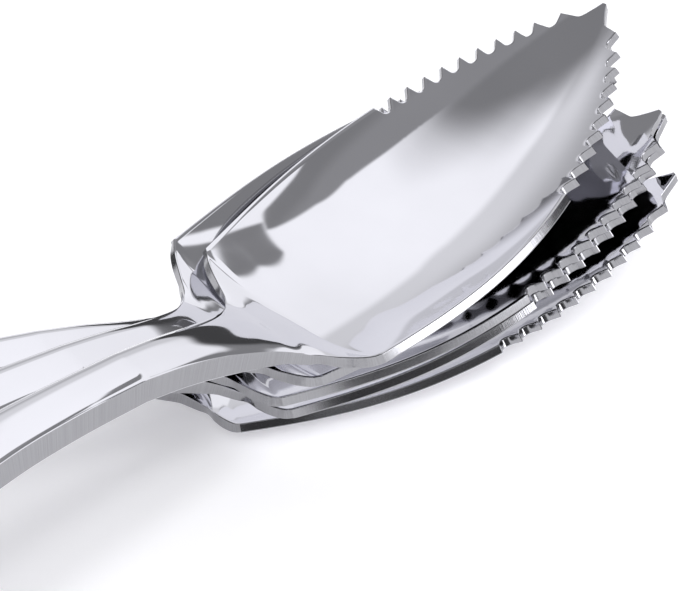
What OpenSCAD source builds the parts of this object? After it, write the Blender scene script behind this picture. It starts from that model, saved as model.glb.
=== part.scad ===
// Nest of five grapefruit spoons. Each spoon is one stamped and ground piece of
// stainless steel: a pointed bowl with sawn teeth round its front half, square
// shoulders, a narrow rising neck and a flat handle that arches to its end.
// The spoons lie in each other and fan out. The origin is on the table, below
// the heel of the bottom spoon's bowl, and the bottom spoon points along +X.

/* [Bowl] */
// Length from the shoulder corners to the tip
bowl_len = 56; // [50:0.5:62]
// Greatest width of the bowl
bowl_w = 26.9; // [24:0.1:30]
// Width across the two shoulder corners
shoulder_w = 22.7; // [20:0.1:24]
// Depth of the floor below the shoulder corners
bowl_depth = 6.6; // [5:0.1:8]
// How far the rim dips between the shoulders and the tip
rim_sag = 1.9; // [1:0.1:3]
// Thickness of the sheet at the rim
rim_t = 1.0; // [0.7:0.05:1.4]

/* [Teeth] */
// Teeth on each side, besides the pointed one at the tip
side_teeth = 10; // [6:1:11]
// Distance from one tooth to the next along the rim
tooth_pitch = 2.55; // [2.2:0.05:2.7]
// Depth of the gullets between the teeth
tooth_h = 1.15; // [0.6:0.05:1.4]
// Length of the pointed tooth at the tip
tip_tooth_l = 3.55; // [3:0.05:4.5]
// Width of the blunt end of that tooth
tip_w = 0.5; // [0.3:0.05:0.8]

/* [Handle] */
// Length of the whole handle behind the shoulder corners
handle_len = 110; // [95:1:125]
// Length of the neck, which rises out of the bowl
neck_run = 17.5; // [15:0.5:20]
// Height that the neck gains over its length
neck_rise = 8.1; // [6:0.1:10]
// Width of the neck at its narrowest place
neck_w = 4.5; // [4:0.1:6]
// Thickness of the neck
neck_t = 2.3; // [1.8:0.05:2.8]
// Height of the handle's arch above the shoulder corners
arch_rise = 17; // [14:0.5:19]
// Greatest width of the handle, near its end
handle_w = 11.5; // [9:0.1:14]
// Thickness of the handle at its end
end_t = 1.6; // [1.3:0.05:2.2]
// Height of the crown across the neck and the handle
crown_h = 0.6; // [0.3:0.05:0.9]

/* [Nest] */
// Clear gap between each spoon and the one it lies in
nest_gap = 0.2; // [0.1:0.05:0.5]

/* [Hidden] */
NODES = ["bottom_spoon", "second_spoon", "middle_spoon", "fourth_spoon", "top_spoon"];

// How each spoon lies, from the bottom one up: its heading, its nose-up pitch
// and its roll in degrees
headings = [0, 10.1, 11.2, 23, 30.1];
pitches = [6.7, 8.4, 6, 9.7, 12.7];
rolls = [13.2, 17.8, 21, 23.7, 15.4];
// The middle of its shoulder line, as shares of the bowl's length
along_shares = [-0.245, -0.191, -0.208, -0.181, -0.11];
across_shares = [0.052, -0.023, -0.053, -0.113, -0.186];

// Half the outline behind the shoulder corners. Each row gives shares: of the
// neck's run, of the width between shoulder and neck, of the neck's rise, of the
// bowl's depth, of the crown and of the thickness between rim and neck
neck_shares = [
    [0, 1, 0, 0.508, 0, 0],
    [0.026, 0.94, -0.037, 0.424, 0, 0.03],
    [0.069, 0.802, -0.08, 0.288, 0, 0.07],
    [0.123, 0.588, -0.13, 0.121, 0, 0.12],
    [0.18, 0.385, -0.148, 0, 0.2, 0.18],
    [0.257, 0.236, -0.043, 0, 0.75, 0.32],
    [0.354, 0.148, 0.111, 0, 0.85, 0.54],
    [0.566, 0.058, 0.444, 0, 1, 0.87],
    [0.777, 0.022, 0.741, 0, 1, 0.97],
    [1, 0, 1, 0, 1, 1]
];
// The handle behind the neck. Each row gives shares: of the length left, of the
// width between neck and handle, of the arch's rise, of the crown and of the
// thickness between neck and end
handle_shares = [
    [0, 0, 0.476, 1, 0],
    [0.07, 0, 0.624, 0.9, 0],
    [0.135, 0.04, 0.735, 0.85, 0],
    [0.33, 0.27, 0.953, 0.7, 0.15],
    [0.568, 0.586, 1, 0.6, 0.35],
    [0.784, 0.87, 0.824, 0.5, 0.65],
    [0.924, 1, 0.624, 0.5, 0.9],
    [1, 1, 0.53, 0.5, 1]
];
// The floor of the bowl along its middle, from the shoulder line to its deepest
// place: shares of the bowl's length and of its depth
floor_shares = [[0, 0.508], [0.054, 0.652], [0.143, 0.864], [0.25, 0.985], [0.34, 1]];
// Where the bowl is widest, as a share of its length
widest_share = 0.32;
// How round the outline is in front of that, and how full the bowl's sides are
nose_power = 1.9;
flank_power = 0.73;
floor_power = 2.1;
bowl_power = 2.3;
// How square the crown is across the neck and the handle, and how far down the
// neck the bowl's hollow has turned into it
crown_power = 4;
crown_from_share = 0.33;
// Spacing of the first two side teeth, against the rest
first_pitch_share = 1.33;
// Half the flat at the bottom of a gullet, as a share of the pitch
gullet_share = 0.16;
// How far the surface is sampled to find its slope, as a share of the sheet
probe_share = 0.1;
probe = probe_share * rim_t;

// Columns across half a spoon, closer together toward the rim, and rows along
// its parts; the handle's rounded end stops at a small flat
half_cols = 5;
col_power = 0.8;
bowl_rows = 8;
handle_rows = 13;
end_rows = 4;
end_angle = 84;
col_shares = [for (j = [-half_cols:half_cols]) sign(j) * pow(abs(j) / half_cols, col_power)];

widest = widest_share * bowl_len;
end_round = handle_w / 2;
handle_run = handle_len - neck_run;

// Smooth curve through the rows of a table, by its first column
function slope_at(t, c, i) =
    let(a = max(i - 1, 0), b = min(i + 1, len(t) - 1)) (t[b][c] - t[a][c]) / (t[b][0] - t[a][0]);
function seg(t, k, i = 0) = i >= len(t) - 2 || k < t[i + 1][0] ? i : seg(t, k, i + 1);
function along(t, k, c) =
    let(
        q = min(max(k, t[0][0]), t[len(t) - 1][0]),
        i = seg(t, q),
        h = t[i + 1][0] - t[i][0],
        u = (q - t[i][0]) / h
    )
    (1 + 2 * u) * (1 - u) * (1 - u) * t[i][c] + u * (1 - u) * (1 - u) * h * slope_at(t, c, i)
    + u * u * (3 - 2 * u) * t[i + 1][c] - u * u * (1 - u) * h * slope_at(t, c, i + 1);

function mix(a, b, s) = a + (b - a) * s;
function neck_at(x, c) = along(neck_shares, -x / neck_run, c);
function handle_at(x, c) = along(handle_shares, (-x - neck_run) / handle_run, c);

// Half width of the smooth outline, before the teeth and the rounded end
function nose(x) = pow(max(1 - pow((x - widest) / (bowl_len - widest), nose_power), 0), flank_power);
function half_w(x) =
    x > widest ? bowl_w / 2 * nose(x)
    : x >= 0 ? mix(shoulder_w, bowl_w, sin(90 * x / widest)) / 2
    : -x < neck_run ? mix(neck_w, shoulder_w, neck_at(x, 1)) / 2
    : mix(neck_w, handle_w, handle_at(x, 1)) / 2;

// Height of the rim or the edge, and of the middle of the upper face
function edge_z(x) =
    x >= 0 ? -4 * rim_sag * x * (bowl_len - x) / (bowl_len * bowl_len)
    : -x < neck_run ? neck_rise * neck_at(x, 2)
    : mix(neck_rise, arch_rise, (handle_at(x, 2) - handle_shares[0][2]) / (1 - handle_shares[0][2]));
function middle_z(x) =
    let(deepest = floor_shares[len(floor_shares) - 1][0] * bowl_len)
    x > deepest ? -bowl_depth * (1 - pow((x - deepest) / (bowl_len - deepest), floor_power))
    : x >= 0 ? -bowl_depth * along(floor_shares, x / bowl_len, 1)
    : -x < neck_run ? edge_z(x) - bowl_depth * neck_at(x, 3) + crown_h * neck_at(x, 4)
    : edge_z(x) + crown_h * handle_at(x, 3);
function crowned(x) = min(max(-x / (crown_from_share * neck_run), 0), 1);
function across_power(x) = mix(bowl_power, crown_power, crowned(x));
function top_z(x, y) =
    let(m = middle_z(x), v = min(abs(y) / max(half_w(x), probe), 1))
    m + (edge_z(x) - m) * pow(v, across_power(x));
function sheet_t(x) =
    x >= 0 ? rim_t
    : -x < neck_run ? mix(rim_t, neck_t, neck_at(x, 5))
    : mix(neck_t, end_t, handle_at(x, 4));

// Direction in which the sheet's thickness lies: square to the bowl's face, but
// square to the edges along the neck and the handle, which are flat underneath
function through(x, y) = [
    (top_z(x - probe, y) - top_z(x + probe, y)) / (2 * probe),
    (top_z(x, y - probe) - top_z(x, y + probe)) / (2 * probe) * (1 - crowned(x)),
    1
];
function crown_over(x, y) = crowned(x) * (top_z(x, y) - edge_z(x));
function under(p) =
    let(n = through(p[0], p[1]))
    p - [0, 0, crown_over(p[0], p[1])] - sheet_t(p[0]) * n / norm(n);
// Thickness measured straight down
function drop_t(x, y) = sheet_t(x) * norm(through(x, y)) + crown_over(x, y);

// Teeth: points along the smooth outline, a run apart
function out_dir(x) =
    let(s = (half_w(x + probe) - half_w(x - probe)) / (2 * probe), n = [-s, 1]) n / norm(n);
function back_along(x, run) = let(m = x - run / 2 * out_dir(x)[1]) x - run * out_dir(m)[1];
function tooth_x(i) =
    i == 0 ? bowl_len - tip_tooth_l
    : back_along(tooth_x(i - 1), tooth_pitch * (i == 1 ? first_pitch_share : 1));
tooth_xs = [for (i = [0:side_teeth]) tooth_x(i)];
function on_rim(x) = [x, half_w(x)];
// The two corners of the gullet behind a point of the rim
function gullet(x, run) =
    let(m = back_along(x, run / 2), n = out_dir(m), t = [n[1], -n[0]], p = on_rim(m) - tooth_h * n)
    [p + gullet_share * tooth_pitch * t, p - gullet_share * tooth_pitch * t];
smooth_x = tooth_xs[side_teeth];

outline = concat(
    [[bowl_len, tip_w / 2]],
    gullet(back_along(tooth_xs[0], -tooth_pitch), tooth_pitch),
    [for (i = [0:side_teeth - 1])
        let(run = i == 0 ? first_pitch_share * tooth_pitch : tooth_pitch)
        each concat([on_rim(tooth_xs[i])], gullet(tooth_xs[i], run))],
    [on_rim(smooth_x)],
    [for (i = [1:bowl_rows]) on_rim(smooth_x * (1 - i / bowl_rows))],
    [for (i = [1:len(neck_shares) - 1]) on_rim(-neck_run * neck_shares[i][0])],
    [for (i = [1:handle_rows]) on_rim(-neck_run - (handle_run - end_round) * i / handle_rows)],
    [for (i = [1:end_rows])
        let(a = end_angle * i / end_rows, x = end_round - handle_len - end_round * sin(a))
        [x, half_w(x) * cos(a)]]
);
// Rows cross the bowl at even steps and lean forward to the teeth
toothed = 4 + 3 * side_teeth;
function row_x(i) = i < toothed ? mix(bowl_len, smooth_x, i / (toothed - 1)) : outline[i][0];
function row(i) = [
    for (v = col_shares)
        let(x = mix(row_x(i), outline[i][0], v * v), y = v * outline[i][1]) [x, y, top_z(x, y)]
];
uppers = [for (i = [0:len(outline) - 1]) row(i)];
unders = [for (r = uppers) [for (p = r) under(p)]];

// One spoon, with the middle of its shoulder line at the origin
module spoon() {
    rows = len(uppers);
    cols = len(col_shares);
    ring = 2 * cols;
    points = [for (i = [0:rows - 1]) each concat(uppers[i], [for (j = [cols - 1:-1:0]) unders[i][j]])];
    function at(i, k) = i * ring + k % ring;
    sides = [for (i = [0:rows - 2], k = [0:ring - 1])
        each [[at(i, k), at(i + 1, k + 1), at(i, k + 1)], [at(i, k), at(i + 1, k), at(i + 1, k + 1)]]];
    function cap(i, flip) = [for (j = [0:cols - 2])
        let(a = at(i, j), b = at(i, j + 1), c = at(i, ring - 2 - j), d = at(i, ring - 1 - j))
        each flip ? [[a, b, c], [a, c, d]] : [[a, c, b], [a, d, c]]];
    polyhedron(points, concat(sides, cap(0, true), cap(rows - 1, false)));
}

// Turning from a spoon's own directions to the table's, and back
function turn(i) =
    let(
        cy = cos(headings[i]), sy = sin(headings[i]),
        cp = cos(-pitches[i]), sp = sin(-pitches[i]),
        cr = cos(rolls[i]), sr = sin(rolls[i])
    )
    [
        [cy * cp, cy * sp * sr - sy * cr, cy * sp * cr + sy * sr],
        [sy * cp, sy * sp * sr + cy * cr, sy * sp * cr - cy * sr],
        [-sp, cp * sr, cp * cr]
    ];
turns = [for (i = [0:len(NODES) - 1]) turn(i)];
function foot(i) = bowl_len * [along_shares[i], across_shares[i], 0];
function on_table(i, p, z) = turns[i] * p + foot(i) + [0, 0, z];
function in_spoon(i, p, z) = (p - foot(i) - [0, 0, z]) * turns[i];
function is_over(p) =
    p[0] < bowl_len && p[0] > -handle_len && abs(p[1]) < half_w(p[0]) + probe;

// Least height of the upper spoon's underside over the lower spoon's face
upper_all = [for (r = uppers) each r];
under_all = [for (r = unders) each r];
function clearance(i, zi, k, zk) = min(concat(
    [for (p = under_all) let(q = in_spoon(k, on_table(i, p, zi), zk))
        if (is_over(q)) q[2] - top_z(q[0], q[1])],
    [for (p = upper_all) let(q = in_spoon(i, on_table(k, p, zk), zi))
        if (is_over(q)) top_z(q[0], q[1]) - drop_t(q[0], q[1]) - q[2]]
));
// Height of a spoon's shoulder line: on the table, or the gap above the one
// below, found by letting it down in a few steps
first_drop = 2 * neck_t;
drops = 4;
function table_z(i) = -min([for (p = under_all) on_table(i, p, 0)[2]]);
function settled(i, z, k, zk, tries) =
    tries == 0 ? z : settled(i, z + nest_gap - clearance(i, z, k, zk), k, zk, tries - 1);
function spoon_z(i) =
    i == 0 ? table_z(0)
    : let(zk = spoon_z(i - 1)) max(table_z(i), settled(i, zk + first_drop, i - 1, zk, drops));

module laid(i) {
    translate(foot(i) + [0, 0, spoon_z(i)])
        rotate([rolls[i], -pitches[i], headings[i]])
            spoon();
}

module bottom_spoon() color([0.72, 0.72, 0.75]) laid(0);
module second_spoon() color([0.76, 0.76, 0.79]) laid(1);
module middle_spoon() color([0.8, 0.8, 0.83]) laid(2);
module fourth_spoon() color([0.84, 0.84, 0.87]) laid(3);
module top_spoon() color([0.88, 0.88, 0.91]) laid(4);

bottom_spoon();
second_spoon();
middle_spoon();
fourth_spoon();
top_spoon();
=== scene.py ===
import bpy
from math import copysign, cos, pi, radians, sin
from mathutils import Matrix, Vector


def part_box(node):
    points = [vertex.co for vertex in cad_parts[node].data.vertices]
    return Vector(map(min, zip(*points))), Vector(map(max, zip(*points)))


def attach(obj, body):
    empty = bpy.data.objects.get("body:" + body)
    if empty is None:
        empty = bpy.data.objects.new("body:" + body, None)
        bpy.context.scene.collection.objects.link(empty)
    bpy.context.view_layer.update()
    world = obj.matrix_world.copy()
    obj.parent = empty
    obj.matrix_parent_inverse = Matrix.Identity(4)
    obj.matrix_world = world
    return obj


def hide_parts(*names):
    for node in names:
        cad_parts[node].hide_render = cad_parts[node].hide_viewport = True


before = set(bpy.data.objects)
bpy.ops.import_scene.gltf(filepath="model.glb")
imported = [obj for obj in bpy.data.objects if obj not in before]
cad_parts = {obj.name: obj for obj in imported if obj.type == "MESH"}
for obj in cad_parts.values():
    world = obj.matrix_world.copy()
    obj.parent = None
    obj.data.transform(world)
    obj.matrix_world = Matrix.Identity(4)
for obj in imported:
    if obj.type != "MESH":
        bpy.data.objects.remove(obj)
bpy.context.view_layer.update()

MM = 0.001

# The camera, where the photograph was taken from: mm, radians
CAMERA_PLACE = (-17.0369, -97.6834, 64.7126)
CAMERA_TURN = (1.0641251, 0.1571022, -0.2645036)
LENS, SENSOR = 56.061, 36

bpy.ops.object.select_all(action="DESELECT")
bpy.ops.object.camera_add(location=[c * MM for c in CAMERA_PLACE], rotation=CAMERA_TURN)
camera = bpy.context.object
camera.name = "camera"
camera.data.sensor_width = SENSOR
camera.data.lens = LENS
camera.data.clip_start = 0.004
camera.data.clip_end = 50
bpy.context.scene.camera = camera
bpy.context.scene.view_settings.view_transform = "Standard"

# The shape of one spoon, in mm; x runs from the shoulder line to the tip
BOWL_LEN, BOWL_W, SHOULDER_W = 56.0, 26.9, 22.7
BOWL_DEPTH, RIM_SAG, RIM_T = 6.6, 1.9, 1.0
SIDE_TEETH, TOOTH_PITCH, TOOTH_H = 10, 2.55, 1.15
TIP_TOOTH_L, TIP_W = 3.55, 0.5
HANDLE_LEN, NECK_RUN, NECK_RISE = 110.0, 17.5, 8.1
NECK_W, NECK_T, ARCH_RISE = 4.5, 2.3, 17.0
HANDLE_W, END_T, CROWN_H = 11.5, 1.6, 0.6
WIDEST = 0.32 * BOWL_LEN
HANDLE_RUN = HANDLE_LEN - NECK_RUN
END_ROUND = HANDLE_W / 2

# Powers and shares that give the curves their form
TIP_POWER, TIP_TAPER = 1.9, 0.73        # the bowl's outline, from its widest to the tip
FLOOR_POWER = 2.1                       # the bowl's floor, from its deepest to the tip
BOWL_POWER, NECK_POWER = 2.3, 4         # the section across the bowl and the neck
CROWN_SHARE = 0.33                      # of the neck, until it is fully crowned
FIRST_PITCH = 1.33                      # the first side tooth's pitch, in pitches
GULLET_SHARE = 0.16                     # of the pitch, half the width of a gullet's root
FLANK_START, FLANK_MIDDLE, FLANK_END = 0.04, 0.4, 0.7   # of a tooth's flank

# The mesh
EDGE_R = 0.09            # rounding left where a face meets the ground edge
EDGE_SHARE = 0.3         # of the half width, the most that the rounding takes
EDGE_INSET = 1.3         # in roundings, where the ground edge's flat part starts
EDGE_PTS = 6             # points round the ground edge
HALF_COLS = 30           # rows of points from the middle of a face to its edge
COL_POWER = 0.8          # brings those rows closer together towards the edge
TOP_COLS = 2 * HALF_COLS + 1
NOTCH_STEPS = 7
RIM_ROWS, NECK_ROWS, HANDLE_ROWS, END_ROWS = 84, 80, 150, 22
END_SWEEP = 86           # degrees of the handle's round end, the rest is one small flat
SLOPE_STEP = 0.1         # mm, for slopes and normals
MERGE_GAP = 0.002 * MM
SHARP = 35               # degrees, above which a corner isn't shaded smooth

# Shares along the neck: width, edge height, bowl's depth, crown, thickness
NECK = [
    (0, 1, 0, 0.508, 0, 0),
    (0.026, 0.94, -0.037, 0.424, 0, 0.03),
    (0.069, 0.802, -0.08, 0.288, 0, 0.07),
    (0.123, 0.588, -0.13, 0.121, 0, 0.12),
    (0.18, 0.385, -0.148, 0, 0.2, 0.18),
    (0.257, 0.236, -0.043, 0, 0.75, 0.32),
    (0.354, 0.148, 0.111, 0, 0.85, 0.54),
    (0.566, 0.058, 0.444, 0, 1, 0.87),
    (0.777, 0.022, 0.741, 0, 1, 0.97),
    (1, 0, 1, 0, 1, 1),
]
# Shares along the handle: width, edge height, crown, thickness
HANDLE = [
    (0, 0, 0.476, 1, 0),
    (0.07, 0, 0.624, 0.9, 0),
    (0.135, 0.04, 0.735, 0.85, 0),
    (0.33, 0.27, 0.953, 0.7, 0.15),
    (0.568, 0.586, 1, 0.6, 0.35),
    (0.784, 0.87, 0.824, 0.5, 0.65),
    (0.924, 1, 0.624, 0.5, 0.9),
    (1, 1, 0.53, 0.5, 1),
]
# Shares along the bowl, from the shoulders to the deepest place: depth
FLOOR = [(0, 0.508), (0.054, 0.652), (0.143, 0.864), (0.25, 0.985), (0.34, 1)]


def mix(a, b, s):
    return a + (b - a) * s


def slope_at(table, col, i):
    a, b = max(i - 1, 0), min(i + 1, len(table) - 1)
    return (table[b][col] - table[a][col]) / (table[b][0] - table[a][0])


def along(table, k, col):
    """Smooth curve through one column of a table."""
    q = min(max(k, table[0][0]), table[-1][0])
    i = 0
    while i < len(table) - 2 and q >= table[i + 1][0]:
        i += 1
    h = table[i + 1][0] - table[i][0]
    u = (q - table[i][0]) / h
    return (
        (1 + 2 * u) * (1 - u) ** 2 * table[i][col]
        + u * (1 - u) ** 2 * h * slope_at(table, col, i)
        + u * u * (3 - 2 * u) * table[i + 1][col]
        - u * u * (1 - u) * h * slope_at(table, col, i + 1)
    )


def neck_at(x, col):
    return along(NECK, -x / NECK_RUN, col)


def handle_at(x, col):
    return along(HANDLE, (-x - NECK_RUN) / HANDLE_RUN, col)


def half_width(x):
    if x > WIDEST:
        past = (x - WIDEST) / (BOWL_LEN - WIDEST)
        return BOWL_W / 2 * max(1 - past ** TIP_POWER, 0) ** TIP_TAPER
    if x >= 0:
        return mix(SHOULDER_W, BOWL_W, sin(pi / 2 * x / WIDEST)) / 2
    if -x < NECK_RUN:
        return mix(NECK_W, SHOULDER_W, neck_at(x, 1)) / 2
    return mix(NECK_W, HANDLE_W, handle_at(x, 1)) / 2


def edge_height(x):
    if x >= 0:
        return -4 * RIM_SAG * x * (BOWL_LEN - x) / BOWL_LEN ** 2
    if -x < NECK_RUN:
        return NECK_RISE * neck_at(x, 2)
    start = HANDLE[0][2]
    return mix(NECK_RISE, ARCH_RISE, (handle_at(x, 2) - start) / (1 - start))


def middle_height(x):
    deepest = FLOOR[-1][0] * BOWL_LEN
    if x > deepest:
        return -BOWL_DEPTH * (1 - ((x - deepest) / (BOWL_LEN - deepest)) ** FLOOR_POWER)
    if x >= 0:
        return -BOWL_DEPTH * along(FLOOR, x / BOWL_LEN, 1)
    if -x < NECK_RUN:
        return edge_height(x) - BOWL_DEPTH * neck_at(x, 3) + CROWN_H * neck_at(x, 4)
    return edge_height(x) + CROWN_H * handle_at(x, 3)


def thickness(x):
    if x >= 0:
        return RIM_T
    if -x < NECK_RUN:
        return mix(RIM_T, NECK_T, neck_at(x, 5))
    return mix(NECK_T, END_T, handle_at(x, 4))


def crowned(x):
    return min(max(-x / (CROWN_SHARE * NECK_RUN), 0), 1)


def section(x):
    """What the height across the spoon at x is made of."""
    power = mix(BOWL_POWER, NECK_POWER, crowned(x))
    middle = middle_height(x)
    return middle, edge_height(x) - middle, max(half_width(x), 0.1), power


def height(s, y):
    middle, rise, half, power = s
    return middle + rise * min(abs(y) / half, 1) ** power


def surface(x, y):
    """A point of the upper face, the way out of the sheet there, and the crown's drop."""
    d = SLOPE_STEP
    s = section(x)
    fore, back = section(x + d), section(x - d)
    sx = (height(fore, y) - height(back, y)) / (2 * d)
    sy = (height(s, y + d) - height(s, y - d)) / (2 * d) * (1 - crowned(x))
    z = height(s, y)
    drop = Vector((0, 0, crowned(x) * (z - s[0] - s[1])))
    return Vector((x, y, z)), Vector((-sx, -sy, 1)).normalized(), drop


# The outline of one side, with its sawn teeth
def rim(x):
    return Vector((x, half_width(x)))


def outward(x):
    d = SLOPE_STEP
    s = (half_width(x + d) - half_width(x - d)) / (2 * d)
    return Vector((-s, 1)).normalized()


def back_along(x, run):
    """The x that is a run further back along the rim."""
    m = x - run / 2 * outward(x)[1]
    return x - run * outward(m)[1]


def gullet(x, run):
    """The two corners of the gullet's root between x and a run further back."""
    m = back_along(x, run / 2)
    n = outward(m)
    t = Vector((n[1], -n[0]))
    p = rim(m) - TOOTH_H * n
    return p + GULLET_SHARE * TOOTH_PITCH * t, p - GULLET_SHARE * TOOTH_PITCH * t


def notch(a, b, corners):
    """From one tooth's point to the next through a gullet with a round root."""
    g, h = corners
    s, e = a.lerp(g, FLANK_END), b.lerp(h, FLANK_END)
    out = [a.lerp(g, FLANK_START), a.lerp(g, FLANK_MIDDLE)]
    for i in range(NOTCH_STEPS + 1):
        u = i / NOTCH_STEPS
        leaving = (1 - u) ** 3 * s + 3 * u * (1 - u) ** 2 * g
        out.append(leaving + 3 * u * u * (1 - u) * h + u ** 3 * e)
    return out + [b.lerp(h, FLANK_MIDDLE), b.lerp(h, FLANK_START)]


def outline():
    """The points from tip to handle end, how many the teeth take, and where they end."""
    first = BOWL_LEN - TIP_TOOTH_L
    pitches = [FIRST_PITCH * TOOTH_PITCH] + [TOOTH_PITCH] * (SIDE_TEETH - 1)
    teeth = [first]
    for pitch in pitches:
        teeth.append(back_along(teeth[-1], pitch))
    tip = Vector((BOWL_LEN, TIP_W / 2))
    points = [tip]
    points += notch(tip, rim(first), gullet(back_along(first, -TOOTH_PITCH), TOOTH_PITCH))
    for here, there, pitch in zip(teeth, teeth[1:], pitches):
        points += notch(rim(here), rim(there), gullet(here, pitch))
    toothed, smooth = len(points), teeth[-1]
    points += [rim(smooth * (1 - i / RIM_ROWS)) for i in range(RIM_ROWS + 1)]
    points += [rim(-NECK_RUN * (i / NECK_ROWS)) for i in range(1, NECK_ROWS + 1)]
    run = HANDLE_RUN - END_ROUND
    points += [rim(-NECK_RUN - run * i / HANDLE_ROWS) for i in range(1, HANDLE_ROWS + 1)]
    for i in range(1, END_ROWS + 1):
        a = radians(END_SWEEP) * i / END_ROWS
        x = END_ROUND - HANDLE_LEN - END_ROUND * sin(a)
        points.append(Vector((x, half_width(x) * cos(a))))
    return points, toothed, smooth


def ground_edge(inner, side, out, r):
    """Down one edge: a rounding, the flat ground face and another rounding."""
    q, n, _ = surface(inner[0], side * inner[1])
    t = thickness(inner[0])
    flat = Vector((out[0], side * out[1], 0))
    o = (flat - flat.dot(n) * n).normalized()
    k = sin(pi / 4)
    return [
        q + r * k * o - r * (1 - k) * n,
        q + r * o - r * n,
        q + r * o - EDGE_INSET * r * n,
        q + r * o - (t - EDGE_INSET * r) * n,
        q + r * o - (t - r) * n,
        q + r * k * o - (t - r * (1 - k)) * n,
    ]


def rings():
    """Closed rings of points round the spoon, each with its place along the rim."""
    points, toothed, smooth = outline()
    steps = range(-HALF_COLS, HALF_COLS + 1)
    cols = [copysign((abs(j) / HALF_COLS) ** COL_POWER, j) for j in steps]
    run = 0.0
    all_rings = []
    for i, p in enumerate(points):
        before, after = points[max(i - 1, 0)], points[min(i + 1, len(points) - 1)]
        run += (p - before).length
        way = (after - before).normalized()
        out = Vector((-way[1], way[0]))
        if out.dot(Vector((0.25, 1))) < 0:
            out = -out
        r = min(EDGE_R, EDGE_SHARE * max(p[1], 0.05))
        inner = p - r * out
        # the toothed rows fan out from evenly spaced places on the middle line
        row_x = mix(BOWL_LEN, smooth, i / (toothed - 1)) if i < toothed else p[0]
        top, under = [], []
        for v in cols:
            x, y = mix(row_x, inner[0], v * v), v * inner[1]
            q, n, drop = surface(x, y)
            top.append(q)
            under.append(q - drop - thickness(x) * n)
        left, right = ground_edge(inner, 1, out, r), ground_edge(inner, -1, out, r)
        all_rings.append((run, top + left + under[::-1] + right[::-1]))
    return all_rings


RINGS = rings()
RING = len(RINGS[0][1])
LEFT_EDGE = range(TOP_COLS, TOP_COLS + EDGE_PTS - 1)
RIGHT_EDGE = range(2 * TOP_COLS + EDGE_PTS, RING - 1)


# The two finishes
class Sock:
    """A socket that takes Python's operators; each adds its Math node."""

    def __init__(self, mat, socket):
        self.mat, self.socket = mat, socket

    def _maths(self, op, a, b):
        return self.mat.node("ShaderNodeMath", {"operation": op}, {0: a, 1: b})

    def __add__(self, o): return self._maths("ADD", self, o)
    def __radd__(self, o): return self._maths("ADD", o, self)
    def __rsub__(self, o): return self._maths("SUBTRACT", o, self)
    def __mul__(self, o): return self._maths("MULTIPLY", self, o)
    def __rmul__(self, o): return self._maths("MULTIPLY", o, self)
    def __truediv__(self, o): return self._maths("DIVIDE", self, o)


class Finish:
    """A node tree under construction."""

    def __init__(self, tree):
        self.tree = tree

    def node(self, kind, settings=None, values=None, out=0):
        n = self.tree.nodes.new(kind)
        for k, v in (settings or {}).items():
            if k == "stops":
                stops = n.color_ramp.elements
                while len(stops) < len(v):
                    stops.new(0.5)
                for stop, (pos, col) in zip(stops, v):
                    stop.position = pos
                    stop.color = col
            else:
                setattr(n, k, v)
        for k, v in (values or {}).items():
            s = n.inputs[k]
            if isinstance(v, Sock):
                self.tree.links.new(v.socket, s)
            else:
                s.default_value = v
        return Sock(self, n.outputs[out]) if out is not None else n

    def noise(self, place, scale, detail):
        values = {"Vector": place, "Scale": scale, "Detail": detail}
        return self.node("ShaderNodeTexNoise", {}, values)

    def tint(self, dark, light, noise):
        stops = [(0.3, grey(dark)), (0.7, grey(light))]
        return self.node("ShaderNodeValToRGB", {"stops": stops}, {"Fac": noise})

    def bump(self, noise, strength, distance):
        values = {"Height": noise, "Strength": strength, "Distance": distance}
        return self.node("ShaderNodeBump", {}, values)

    def metal(self, tint, rough, bump):
        values = {"Base Color": tint, "Metallic": 1.0, "Roughness": rough, "Normal": bump}
        return self.node("ShaderNodeBsdfPrincipled", {}, values)


def grey(v):
    """The grey of steel, with a little blue in it."""
    return (v, v, 1.04 * v, 1)


def new_material(name):
    m = bpy.data.materials.new(name)
    m.use_nodes = True
    for n in list(m.node_tree.nodes):
        if n.type != "OUTPUT_MATERIAL":
            m.node_tree.nodes.remove(n)
    return m, Finish(m.node_tree), m.node_tree.nodes["Material Output"]


def polished_steel():
    m, f, out = new_material("polished_steel")
    place = f.node("ShaderNodeTexCoord", out=3)
    cloud = f.noise(place, 55.0, 3.0)
    fine = f.noise(place, 900.0, 2.0)
    wave = f.noise(place, 70.0, 1.0)
    rough = 0.025 + 0.03 * cloud + 0.02 * fine
    steel = f.metal(f.tint(0.71, 0.77, cloud), rough, f.bump(wave, 0.1, 0.001))
    f.tree.links.new(steel.socket, out.inputs["Surface"])
    return m


def ground_steel():
    """Satin, with fine lines across the edge that follow the rim."""
    m, f, out = new_material("ground_edge_steel")
    uv = f.node("ShaderNodeUVMap", {"uv_map": "rim_run"})
    strokes = f.node("ShaderNodeMapping", {}, {"Vector": uv, "Scale": (9.0, 0.35, 1.0)})
    lines = f.noise(strokes, 1.0, 3.0)
    place = f.node("ShaderNodeTexCoord", out=3)
    cloud = f.noise(place, 120.0, 2.0)
    rough = 0.10 + 0.09 * cloud
    steel = f.metal(f.tint(0.33, 0.40, lines), rough, f.bump(lines, 0.04, 0.0003))
    f.tree.links.new(steel.socket, out.inputs["Surface"])
    return m


POLISHED, GROUND = polished_steel(), ground_steel()

# The five spoons, as they lie in the nest: node, heading, nose-up pitch and roll in
# degrees, and the shoulder line's middle in bowl lengths
SPOONS = [
    ("bottom_spoon", 0, 6.7, 13.2, -0.245, 0.052),
    ("second_spoon", 10.1, 8.4, 17.8, -0.191, -0.023),
    ("middle_spoon", 11.2, 6, 21, -0.208, -0.053),
    ("fourth_spoon", 23, 9.7, 23.7, -0.181, -0.113),
    ("top_spoon", 30.1, 12.7, 15.4, -0.11, -0.186),
]


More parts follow.
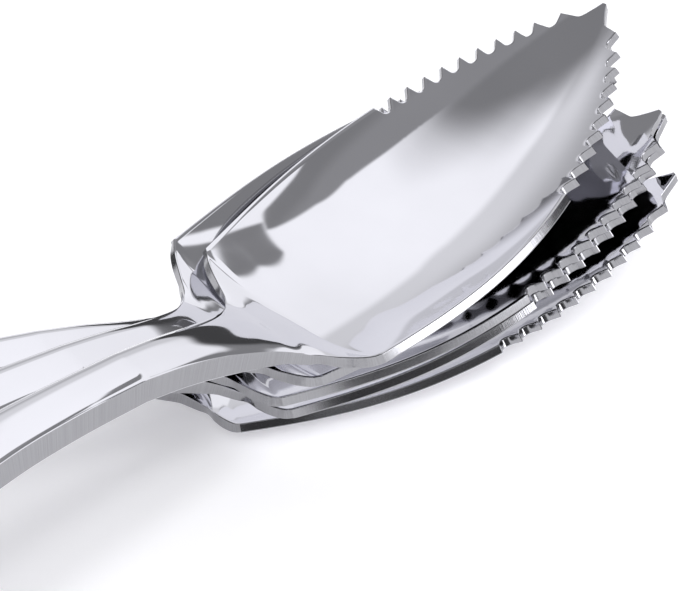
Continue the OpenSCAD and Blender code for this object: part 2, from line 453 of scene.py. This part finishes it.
def place_points(node, heading, pitch, roll, ahead, across):
    """The rings' points, each ring closed, turned and moved to where the node lies."""
    turn = (Matrix.Rotation(radians(heading), 3, "Z")
            @ Matrix.Rotation(-radians(pitch), 3, "Y")
            @ Matrix.Rotation(radians(roll), 3, "X"))
    placed = [turn @ p for _, ring in RINGS for p in ring + ring[:1]]
    shift = Vector((ahead * BOWL_LEN, across * BOWL_LEN, 0))
    shift[2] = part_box(node)[0][2] / MM - min(p[2] for p in placed)
    return [c * MM for p in placed for c in p + shift]


def dress(mesh):
    """Two materials, and a map of the run along the rim and the way round it."""
    layer = mesh.uv_layers[0]
    layer.name = "rim_run"
    for poly in mesh.polygons:
        for loop, vertex in zip(poly.loop_indices, poly.vertices):
            row, col = divmod(vertex, RING + 1)
            layer.data[loop].uv = (RINGS[row][0], col * 0.2)
        col = min(vertex % (RING + 1) for vertex in poly.vertices)
        poly.material_index = 1 if col in LEFT_EDGE or col in RIGHT_EDGE else 0
    mesh.materials.append(POLISHED)
    mesh.materials.append(GROUND)


def make_spoon(node, *place):
    rows = len(RINGS)
    bpy.ops.object.select_all(action="DESELECT")
    bpy.ops.mesh.primitive_grid_add(
        x_subdivisions=RING, y_subdivisions=rows - 1, size=BOWL_LEN * MM)
    piece = bpy.context.object
    piece.name = node + "_steel"
    mesh = piece.data
    assert len(mesh.vertices) == (RING + 1) * rows
    mesh.vertices.foreach_set("co", place_points(node, *place))
    dress(mesh)
    mesh.update()
    # join each ring to itself, close both ends and turn every face outwards
    bpy.ops.object.mode_set(mode="EDIT")
    bpy.ops.mesh.select_all(action="SELECT")
    bpy.ops.mesh.remove_doubles(threshold=MERGE_GAP)
    bpy.ops.mesh.select_all(action="DESELECT")
    bpy.ops.mesh.select_non_manifold(
        extend=False, use_wire=False, use_multi_face=False,
        use_non_contiguous=False, use_verts=False)
    bpy.ops.mesh.fill_holes(sides=0)
    bpy.ops.mesh.select_all(action="SELECT")
    bpy.ops.mesh.normals_make_consistent(inside=False)
    bpy.ops.mesh.select_all(action="DESELECT")
    bpy.ops.object.mode_set(mode="OBJECT")
    bpy.ops.object.shade_smooth_by_angle(angle=radians(SHARP))
    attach(piece, node)
    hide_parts(node)
    bpy.ops.object.select_all(action="DESELECT")


for spec in SPOONS:
    make_spoon(*spec)

# The table: white cloth that also glows for the camera and in the steel
TABLE_GLOW = 0.2
bpy.ops.mesh.primitive_plane_add(size=6, location=(0, 0, 0))
table = bpy.context.object
table.name = "table"
m, f, out = new_material("white_table")
path = f.node("ShaderNodeLightPath", out=None)
seen = Sock(f, path.outputs["Is Camera Ray"]) + Sock(f, path.outputs["Is Glossy Ray"])
cloth = f.node("ShaderNodeBsdfDiffuse", {}, {"Color": (0.9, 0.9, 0.915, 1)})
glow = f.node(
    "ShaderNodeEmission", {}, {"Color": (1, 0.99, 1, 1), "Strength": seen * TABLE_GLOW})
both = f.node("ShaderNodeAddShader", {}, {0: cloth, 1: glow})
f.tree.links.new(both.socket, out.inputs["Surface"])
table.data.materials.append(m)

# A wide light from above the camera, which the steel doesn't show
bpy.ops.object.light_add(
    type="SUN", location=(0, 0, 1), rotation=(radians(42), radians(-6), 0))
key = bpy.context.object
key.name = "key_light"
key.data.energy = 2.17
key.data.angle = radians(34)
key.visible_glossy = False
bpy.ops.object.select_all(action="DESELECT")

# The studio that the steel mirrors, by direction. The camera sees plain white.
world = bpy.data.worlds.new("studio")
bpy.context.scene.world = world
world.use_nodes = True
for n in list(world.node_tree.nodes):
    if n.type != "OUTPUT_WORLD":
        world.node_tree.nodes.remove(n)
w = Finish(world.node_tree)
path = w.node("ShaderNodeLightPath", out=None)
seen = Sock(w, path.outputs["Is Camera Ray"])
direction = w.node("ShaderNodeTexCoord", out=0)

ROOM, UPPER_ROOM, WINDOW = 0.264, 0.066, 0.66
SOFTBOX, SOFTBOX_RISE = 1.12, 0.1
UPPER_STRIP, LOWER_STRIP = 1.4, 5.0
LOW_ROOM_LOSS, HOOD_LOSS = 0.75, 0.78       # shares of light that are missing there


def facing(azimuth, elevation):
    """How far the direction points that way, to its left and above it."""
    a, e = radians(azimuth), radians(elevation)
    to = (cos(e) * cos(a), cos(e) * sin(a), sin(e))
    across = (-sin(a), cos(a), 0)
    upward = (-sin(e) * cos(a), -sin(e) * sin(a), cos(e))
    return [w.node("ShaderNodeVectorMath", {"operation": "DOT_PRODUCT"},
                   {0: direction, 1: axis}, out=1)
            for axis in (to, across, upward)]


def flat_on(azimuth, elevation):
    """1 on that side, and the places across and up a flat panel there."""
    ahead, u, v = facing(azimuth, elevation)
    return ramp(ahead, 0.05, 0.1), u / ahead, v / ahead


def ramp(value, low, high):
    return w.node("ShaderNodeMapRange", {"interpolation_type": "SMOOTHSTEP"},
                  {"Value": value, "From Min": low, "From Max": high})


def strip(azimuth, elevation, left, right, bottom, top):
    """A lamp's flat face; every side is the pair of places where it fades in."""
    there, u, v = flat_on(azimuth, elevation)
    return there * ramp(u, *left) * ramp(u, *right) * ramp(v, *bottom) * ramp(v, *top)


# a large softbox on the far side, dimmer at its left end, with a dim wall and a hood
# in front of it
there, u, v = flat_on(45, 48)
wall = ramp(u, -0.66, -0.71) * ramp(v + 0.67 * u, -0.54, -0.50) * ramp(v, 0.085, 0.11)
softbox = there * (1 - wall) * ramp(u, -1.3, -1.2) * ramp(u, 1.2, 0.95)
softbox = softbox * ramp(v + 0.25 * u, -0.48, -0.42) * ramp(v + 0.2 * u, 0.74, 0.44)
falloff = (1 - 0.27 * ramp(u, 0.38, 0.48)) * (1 - 0.35 * ramp(u, 0.58, 0.95))
hood = ramp(u, -0.82, -0.77) * ramp(v, -0.02, 0.02)
hood = hood * ramp(v, 0.1, 0.08) * ramp(v + 0.45 * u, -0.065, -0.09)
panel = softbox * falloff * (1 - HOOD_LOSS * hood)
panel = panel * (SOFTBOX + SOFTBOX_RISE * ramp(v, -0.4, 0.3))

# a dim room, lighter high up and darker low down, with a low window on the far side
up = facing(0, 90)[0]
window = ramp(facing(98, 12)[0], 0.955, 0.975)
room = ROOM + UPPER_ROOM * ramp(up, 0.66, 0.74) * ramp(up, 0.93, 0.88)
room = room * (1 - LOW_ROOM_LOSS * ramp(up, 0.36, 0.28)) + WINDOW * window

# two low strip lights on the near side
upper_strip = strip(-80, 26, (-0.5, -0.42), (0.5, 0.42), (-0.10, -0.06), (0.12, 0.08))
lower_strip = strip(-32, 5, (-0.28, -0.24), (0.30, 0.20), (-0.16, -0.12), (0.26, 0.20))

level = room * (1 - softbox) + panel
level = level + UPPER_STRIP * upper_strip + LOWER_STRIP * lower_strip
sky = w.node("ShaderNodeBackground", {}, {"Color": (0.965, 0.965, 1, 1), "Strength": level})
white = w.node("ShaderNodeBackground", {}, {"Color": (1, 1, 1, 1), "Strength": 1.0})
mixed = w.node("ShaderNodeMixShader", {}, {0: seen, 1: sky, 2: white})
w.tree.links.new(mixed.socket, world.node_tree.nodes["World Output"].inputs["Surface"])
